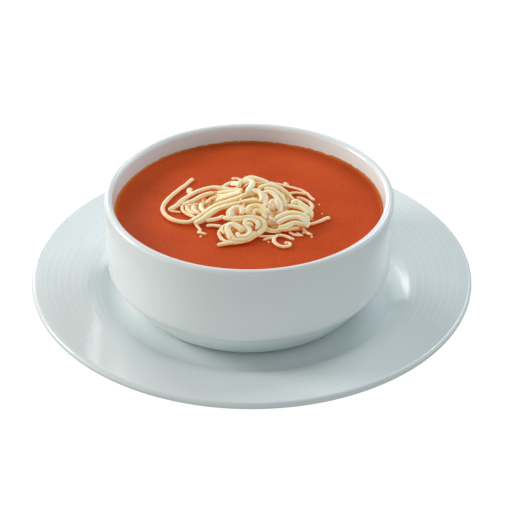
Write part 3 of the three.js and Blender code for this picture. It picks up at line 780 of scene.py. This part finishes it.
def facing(direction, roll):
    side = direction.cross(Vector((0, 0, 1))).normalized()
    over = side.cross(direction).normalized()
    turn = Matrix.Rotation(roll, 3, direction)
    return Matrix((turn @ side, turn @ over, direction)).transposed()


# %% Extrude a ring by one step
def neighbour_among(group, vert):
    around = (edge.other_vert(vert) for edge in vert.link_edges)
    return next(other for other in around if other in group)


def extrude_ring(shape, ring):
    members = set(ring)
    edges = {edge for vert in ring for edge in vert.link_edges if edge.other_vert(vert) in members}
    made = bmesh.ops.extrude_edge_only(shape, edges=list(edges))["geom"]
    fresh = {item for item in made if isinstance(item, bmesh.types.BMVert)}
    return [neighbour_among(fresh, vert) for vert in ring]


# %% Size and dents of a ring
SHRED_TIP = 0.34
SHRED_ROUNDING = 1.1
SHRED_SWELL = 0.12
SHRED_DENT = 0.09
FINE_DENT = 0.4


def ring_size(from_end, along, lot):
    share = min(1.0, from_end / SHRED_ROUNDING)
    rounded = max(SHRED_TIP, math.sqrt(1 - (1 - share) ** 2))
    return rounded * (1 + SHRED_SWELL * noise.noise(Vector((along * 0.22, lot * 2.3, 0.5))))


def dented(corner, along, lot):
    spot = Vector((corner.x * 0.9 + lot * 5.1, corner.y * 0.9, along * 0.42))
    fine = Vector((corner.x * 2.1, corner.y * 2.1 + lot * 3.3, along * 1.5))
    return 1 + SHRED_DENT * noise.noise(spot) + FINE_DENT * SHRED_DENT * noise.noise(fine)


# %% Build one shred
SHRED_SIDES = 12
SHRED_STEP = 0.5
SHRED_FLATNESS = 0.68
SHRED_TEAR = 0.5
SHRED_ROLL = 0.7
ROLL_PACE = 0.2


def add_shred(heap, width, points, lot):
    shape = bmesh.new()
    tone_layer = shape.verts.layers.float.new("tone")
    under_layer = shape.verts.layers.float.new("under")
    ring = bmesh.ops.create_circle(shape, cap_ends=True, segments=SHRED_SIDES, radius=1.0)["verts"]
    corners = [vert.co.copy() for vert in ring]
    route = smooth_route([Vector(point) for point in points], SHRED_STEP)
    reach = [0.0]
    for start, end in zip(route, route[1:]):
        reach.append(reach[-1] + (end - start).length)
    tone = 0.5 + 0.5 * noise.noise(Vector((lot * 3.7, 1.3, 0.6)))
    roll_range = SHRED_ROLL * noise.noise(Vector((lot * 1.9, 5.1, 0.2)))
    for i, centre in enumerate(route):
        if i:
            ring = extrude_ring(shape, ring)
        ahead = (route[min(i + 1, len(route) - 1)] - route[max(i - 1, 0)]).normalized()
        size = width / 2 * ring_size(min(reach[i], reach[-1] - reach[i]), reach[i], lot)
        turn = facing(ahead, roll_range * math.sin(reach[i] * ROLL_PACE + lot))
        tear = SHRED_TEAR if i in (0, len(route) - 1) else 0.0
        for vert, corner in zip(ring, corners):
            grown = size * dented(corner, reach[i], lot)
            torn = tear * noise.noise(corner * 1.3 + Vector((lot, i, 0)))
            local = turn @ Vector((corner.x * grown, corner.y * grown * SHRED_FLATNESS, torn))
            vert.co = (centre + local + Vector((0, 0, SOUP_LEVEL))) * MM
            vert[tone_layer] = tone
            vert[under_layer] = 0.5 - local.z / width
    bmesh.ops.contextual_create(shape, geom=ring)
    bmesh.ops.recalc_face_normals(shape, faces=shape.faces)
    built = bpy.data.meshes.new("one shred")
    shape.to_mesh(built)
    shape.free()
    heap.from_mesh(built)
    bpy.data.meshes.remove(built)
    return reach[-1]


# %% Make the shreds
SHRED_SHARE = 0.87

shreds_shape = bmesh.new()
total_length = 0
for lot, (width, *points) in enumerate(SHREDS.values()):
    total_length += add_shred(shreds_shape, width * SHRED_SHARE, points, lot)
print("shreds laid end to end:", round(total_length), "mm")
finish_piece("cheese_shreds", shreds_shape, cheese, "grated_cheese")

# %% [markdown]
# ## Thin shreds beside the thick ones
# The edge of a grater's hole also peels off slivers. They lie along the thick shreds, so each one
# follows part of a thick shred's route, a little to one side of it and a little lower or higher.
# The shreds that lie free at the edges of the heap have none, nor have thin or short ones.

# %% Beside a route
SLIVER_SWAY = 0.35


def beside(points, offset, lift):
    route = []
    for i, point in enumerate(points):
        ahead = Vector(points[min(i + 1, len(points) - 1)]) - Vector(points[max(i - 1, 0)])
        side = Vector((ahead.y, -ahead.x, 0)).normalized()
        sway = 1 + SLIVER_SWAY * math.sin(2 * i)
        route.append(Vector(point) + side * offset * sway + Vector((0, 0, lift)))
    return route


# %% Slivers
SLIVER_WIDTHS = (0.8, 1.5)
SLIVER_OFFSETS = (0.42, 0.62)
SLIVER_LIFTS = (-0.8, 0.1)
SLIVER_POINTS = (4, 6)
SLIVER_LOTS = 200
THICK_FROM = 2.2
LYING_FREE = ("long_hook", "outer_sweep", "inner_rod", "right_tail")

sliver_draw = random.Random(21)
slivers_shape = bmesh.new()
for lot, (name, (width, *points)) in enumerate(SHREDS.items()):
    if name in LYING_FREE or width < THICK_FROM or len(points) < SLIVER_POINTS[0]:
        continue
    start = sliver_draw.randint(0, max(0, len(points) - 5))
    part = points[start:start + sliver_draw.randint(*SLIVER_POINTS)]
    side = 1 if lot % 2 else -1
    offset = side * width * sliver_draw.uniform(*SLIVER_OFFSETS)
    route = beside(part, offset, sliver_draw.uniform(*SLIVER_LIFTS))
    add_shred(slivers_shape, sliver_draw.uniform(*SLIVER_WIDTHS), route, SLIVER_LOTS + lot)
finish_piece("cheese_slivers", slivers_shape, cheese, "grated_cheese")

# %% [markdown]
# ## The imported middle of the heap
# Under the shreds that show lie more of them, pressed together and soaked. Low mounds fill that
# space, a little lower than the mounds of the solid heap, so that dark gaps stay between the
# shreds. Their colour is partly the soup's stain and partly painted shade of those gaps, and they
# get a little of the painted underglow. They start as spheres, are flattened, and their surface is
# roughened.

# %% Mounds
# Each mound is its place across and in depth, half its width, half its depth and its height.
MOUNDS = [
    (3, -3, 16, 20, 6.2),
    (-5, -23.5, 8, 7, 2),
    (18.5, -12, 8.5, 9, 3.2),
    (-23.5, 0, 8.5, 10, 1.3),
    (-12, 6, 9, 9, 2.2),
]
MOUND_SHARE = 0.86
MOUND_BELOW = -0.25
MOUND_FINENESS = 5
MOUND_ROUGH = 0.45
MOUND_FINE_ROUGH = 0.2
MOUND_TONE = 1.0
# The mounds count as a little way down a shred's side, which gives them some painted underglow.
MOUND_UNDER = 0.35


def dome(outward):
    return math.sqrt(max(0.0, 1 - outward ** 3))


# %% Roughened mounds
mounds_shape = bmesh.new()
mounds_tone = mounds_shape.verts.layers.float.new("tone")
mounds_under = mounds_shape.verts.layers.float.new("under")
for x, y, half_width, half_depth, height in MOUNDS:
    made = bmesh.ops.create_icosphere(mounds_shape, subdivisions=MOUND_FINENESS, radius=1.0)
    for vert in made["verts"]:
        side = 1 if vert.co.z > 0 else MOUND_BELOW
        level = dome(math.hypot(vert.co.x, vert.co.y)) * side * MOUND_SHARE
        across = vert.co.x * half_width * MOUND_SHARE
        deep = vert.co.y * half_depth * MOUND_SHARE
        spot = Vector((x + across, y + deep, height * level))
        rough = noise.noise(spot * 0.9) * MOUND_ROUGH
        spot.z += rough + noise.noise(spot * 2.3) * MOUND_FINE_ROUGH
        vert.co = (spot + Vector((0, 0, SOUP_LEVEL))) * MM
        vert[mounds_tone] = MOUND_TONE
        vert[mounds_under] = MOUND_UNDER
finish_piece("cheese_packed", mounds_shape, packed_cheese, "grated_cheese")

# %% [markdown]
# ## Short bits on the mounds
# What shows in the gaps of the heap is more cheese, and not a smooth dome. So short bits lie on
# the mounds, most of them on the largest one. Each starts at a drawn place and walks a few steps
# over the mound along a bent line. Four bits are placed one by one, where the heap has its widest
# gap.

# %% Walk over the mounds
BIT_STEP = 1.7
BIT_POINTS = 5


def heap_height(x, y):
    tops = [0.0]
    for mound_x, mound_y, half_width, half_depth, height in MOUNDS:
        outward = math.hypot((x - mound_x) / half_width, (y - mound_y) / half_depth)
        tops.append(height * dome(outward))
    return max(tops)


def walk(x, y, heading, bend, sink):
    points = []
    for _ in range(BIT_POINTS):
        points.append((x, y, heap_height(x, y) + sink))
        x += BIT_STEP * math.cos(heading)
        y += BIT_STEP * math.sin(heading)
        heading += bend * BIT_STEP
    return points


# %% Bits over the mounds
BIT_COUNT = 64
BIT_WIDTHS = (1.2, 2.2)
BIT_BENDS = (-0.1, 0.3)
BIT_SINKS = (-0.6, 0.0)
BIT_TURNS = (-0.7, 0.7)
BIT_SPREAD = 0.78
BIT_LOTS = 100
PLACED_BITS = [(6.5, -19.4, -0.1), (7.8, -17.6, -0.5), (8.4, -20.6, 0.3), (12.6, -17.2, 3.6)]
PLACED_LIFT = 0.5

bit_draw = random.Random(5)
bits_shape = bmesh.new()
for lot in range(BIT_COUNT):
    mound = MOUNDS[0] if lot % 2 else bit_draw.choice(MOUNDS)
    mound_x, mound_y, half_width, half_depth, _ = mound
    angle = bit_draw.uniform(0, math.tau)
    outward = math.sqrt(bit_draw.uniform(0, BIT_SPREAD))
    x = mound_x + outward * half_width * math.cos(angle)
    y = mound_y + outward * half_depth * math.sin(angle)
    heading = angle + math.pi / 2 + bit_draw.uniform(*BIT_TURNS)
    bend = bit_draw.uniform(*BIT_BENDS)
    sink = bit_draw.uniform(*BIT_SINKS)
    if lot < len(PLACED_BITS):
        x, y, heading = PLACED_BITS[lot]
        sink = PLACED_LIFT
    points = walk(x, y, heading, bend, sink)
    add_shred(bits_shape, bit_draw.uniform(*BIT_WIDTHS), points, BIT_LOTS + lot)
# The bits take the packed finish, whose colour is partly painted shade of the gaps.
finish_piece("cheese_bits", bits_shape, packed_cheese, "grated_cheese")

# %% [markdown]
# ## Crumbs
# A grater also leaves crumbs. They lie close round the heap, half sunk. They are tiny squashed
# icospheres. The larger ones have places of their own, and a seeded draw places the smallest.

# %% Places of the crumbs
# Each crumb is its place across and in depth, and its size.
CRUMB_SPOTS = [
    (16, 20.3, 1.1), (9.2, 22, 0.8), (24.6, -21.5, 0.8), (20.5, -22.3, 0.9),
    (-8.5, 25.4, 0.9), (22.8, -21.2, 0.7), (17.2, -21.6, 0.7), (7.4, -28.6, 0.5),
    (-22.3, -24.2, 0.7), (26.4, -24.6, 0.6),
]
CRUMB_COUNT = 16
CRUMB_REACH = (0.95, 1.14)
CRUMB_SIZES = (0.2, 0.45)
HEAP_X, HEAP_Y = 2, -5
HEAP_HALF_WIDTH, HEAP_HALF_DEPTH = 26, 25

crumb_draw = random.Random(11)
spots = list(CRUMB_SPOTS)
for _ in range(CRUMB_COUNT):
    angle = crumb_draw.uniform(0, math.tau)
    reach = crumb_draw.uniform(*CRUMB_REACH)
    x = HEAP_X + HEAP_HALF_WIDTH * reach * math.cos(angle)
    y = HEAP_Y + HEAP_HALF_DEPTH * reach * math.sin(angle)
    spots.append((x, y, crumb_draw.uniform(*CRUMB_SIZES)))
print("crumbs:", len(spots))

# %% Crumbs
CRUMB_STRETCH = (1.0, 1.7)
CRUMB_FLATNESS = 0.7
CRUMB_LIFT = 0.15
CRUMB_BUMP = 0.25
CRUMB_TONE = 0.3

crumbs_shape = bmesh.new()
crumbs_tone = crumbs_shape.verts.layers.float.new("tone")
for x, y, size in spots:
    made = bmesh.ops.create_icosphere(crumbs_shape, subdivisions=2, radius=1.0)["verts"]
    stretch = crumb_draw.uniform(*CRUMB_STRETCH)
    turn = Matrix.Rotation(crumb_draw.uniform(0, math.tau), 3, "Z")
    for vert in made:
        bumpy = 1 + CRUMB_BUMP * noise.noise(vert.co * 1.7 + Vector((x, y, 0)))
        wide, deep, high = (value * size for value in vert.co)
        local = turn @ Vector((wide * stretch, deep, high * CRUMB_FLATNESS))
        vert.co = (Vector((x, y, SOUP_LEVEL + CRUMB_LIFT * size)) + local * bumpy) * MM
        vert[crumbs_tone] = CRUMB_TONE
finish_piece("cheese_crumbs", crumbs_shape, cheese)

# %% [markdown]
# ## Floor
# The plate stands on plain white. The floor glows by itself and is hidden from bounced light, so
# it stays clean white, as in a cut-out product picture, and doesn't brighten the plate from
# below.

# %% Floor
FLOOR_HALF = 3.0
FLOOR_WHITE = (1.0, 1.0, 1.0)
FLOOR_NEAR_WHITE = (0.98, 0.98, 0.98)
FLOOR_GREY = (0.1, 0.1, 0.1)
FLOOR_DARK_GREY = (0.08, 0.08, 0.08)

floor_shape = bmesh.new()
bmesh.ops.create_grid(floor_shape, x_segments=1, y_segments=1, size=FLOOR_HALF)
floor_mesh = bpy.data.meshes.new("floor")
floor_shape.to_mesh(floor_mesh)
floor_shape.free()
floor = bpy.data.objects.new("floor", floor_mesh)
bpy.context.scene.collection.objects.link(floor)
floor_paint = Finish("floor_paint", {"Roughness": 0.9, "Emission Strength": 1.0})
floor_drift = floor_paint.ramp(floor_paint.noise(3), 0.2, 0.8)
floor_paint.set("Base Color", floor_paint.mix(floor_drift, FLOOR_GREY, FLOOR_DARK_GREY))
floor_paint.set("Emission Color", floor_paint.mix(floor_drift, FLOOR_WHITE, FLOOR_NEAR_WHITE))
floor_mesh.materials.append(floor_paint.material)
floor.visible_diffuse = False
floor.visible_glossy = False
floor.visible_shadow = False
print("floor half width in m:", FLOOR_HALF)

# %% [markdown]
# ## Light
# Six soft round lights stand round the bowl, all aimed at its middle. The two strongest, at the
# left and behind, brighten the left wall and the right inside of the bowl, and the shadow of the
# rim darkens the soup along its back. Cooler ones at the right give the plate its sheen there. A
# faint one low in front and a pale sky fill the rest. A light is given by its turn round the bowl
# and its climb over the table, in degrees, then its size in metres, its power in watts and its
# colour.

# %% Lights
LIGHT_AIM = Vector((0, 0, 0.03))
LIGHT_DISTANCE = 0.9


def soft_light(name, turn, climb, size, power, colour):
    data = bpy.data.lights.new(name, "AREA")
    data.shape = "DISK"
    data.size = size
    data.energy = power
    data.color = colour
    around = math.radians(turn)
    up = math.radians(climb)
    level = math.cos(up)
    toward = Vector((level * math.cos(around), level * math.sin(around), math.sin(up)))
    lamp = bpy.data.objects.new(name, data)
    lamp.location = LIGHT_AIM + LIGHT_DISTANCE * toward
    lamp.rotation_euler = toward.to_track_quat("Z", "Y").to_euler()
    bpy.context.scene.collection.objects.link(lamp)


soft_light("left", 165, 24, 0.3, 4.5, (1, 0.97, 0.93))
soft_light("wide back", 114, 17, 0.4, 3.8, (0.99, 0.96, 0.98))
soft_light("far left", 188, 17, 0.6, 1.0, (1, 1, 0.95))
soft_light("right back", 54, 42, 0.45, 2.9, (0.87, 0.94, 1))
soft_light("right", 8, 18, 0.8, 1.5, (0.78, 0.89, 1))
soft_light("low front", 262, 5, 0.8, 1.3, (0.95, 1, 0.98))

print("lights:", len(bpy.data.lights))

# %% Sky
SKY_COLOUR = (0.94, 1, 1, 1)
SKY_STRENGTH = 0.38

world = bpy.data.worlds.new("sky")
world.use_nodes = True
sky = world.node_tree.nodes["Background"]
sky.inputs["Color"].default_value = SKY_COLOUR
sky.inputs["Strength"].default_value = SKY_STRENGTH
bpy.context.scene.world = world
bpy.context.scene.view_settings.view_transform = "Standard"
print("sky strength:", SKY_STRENGTH)
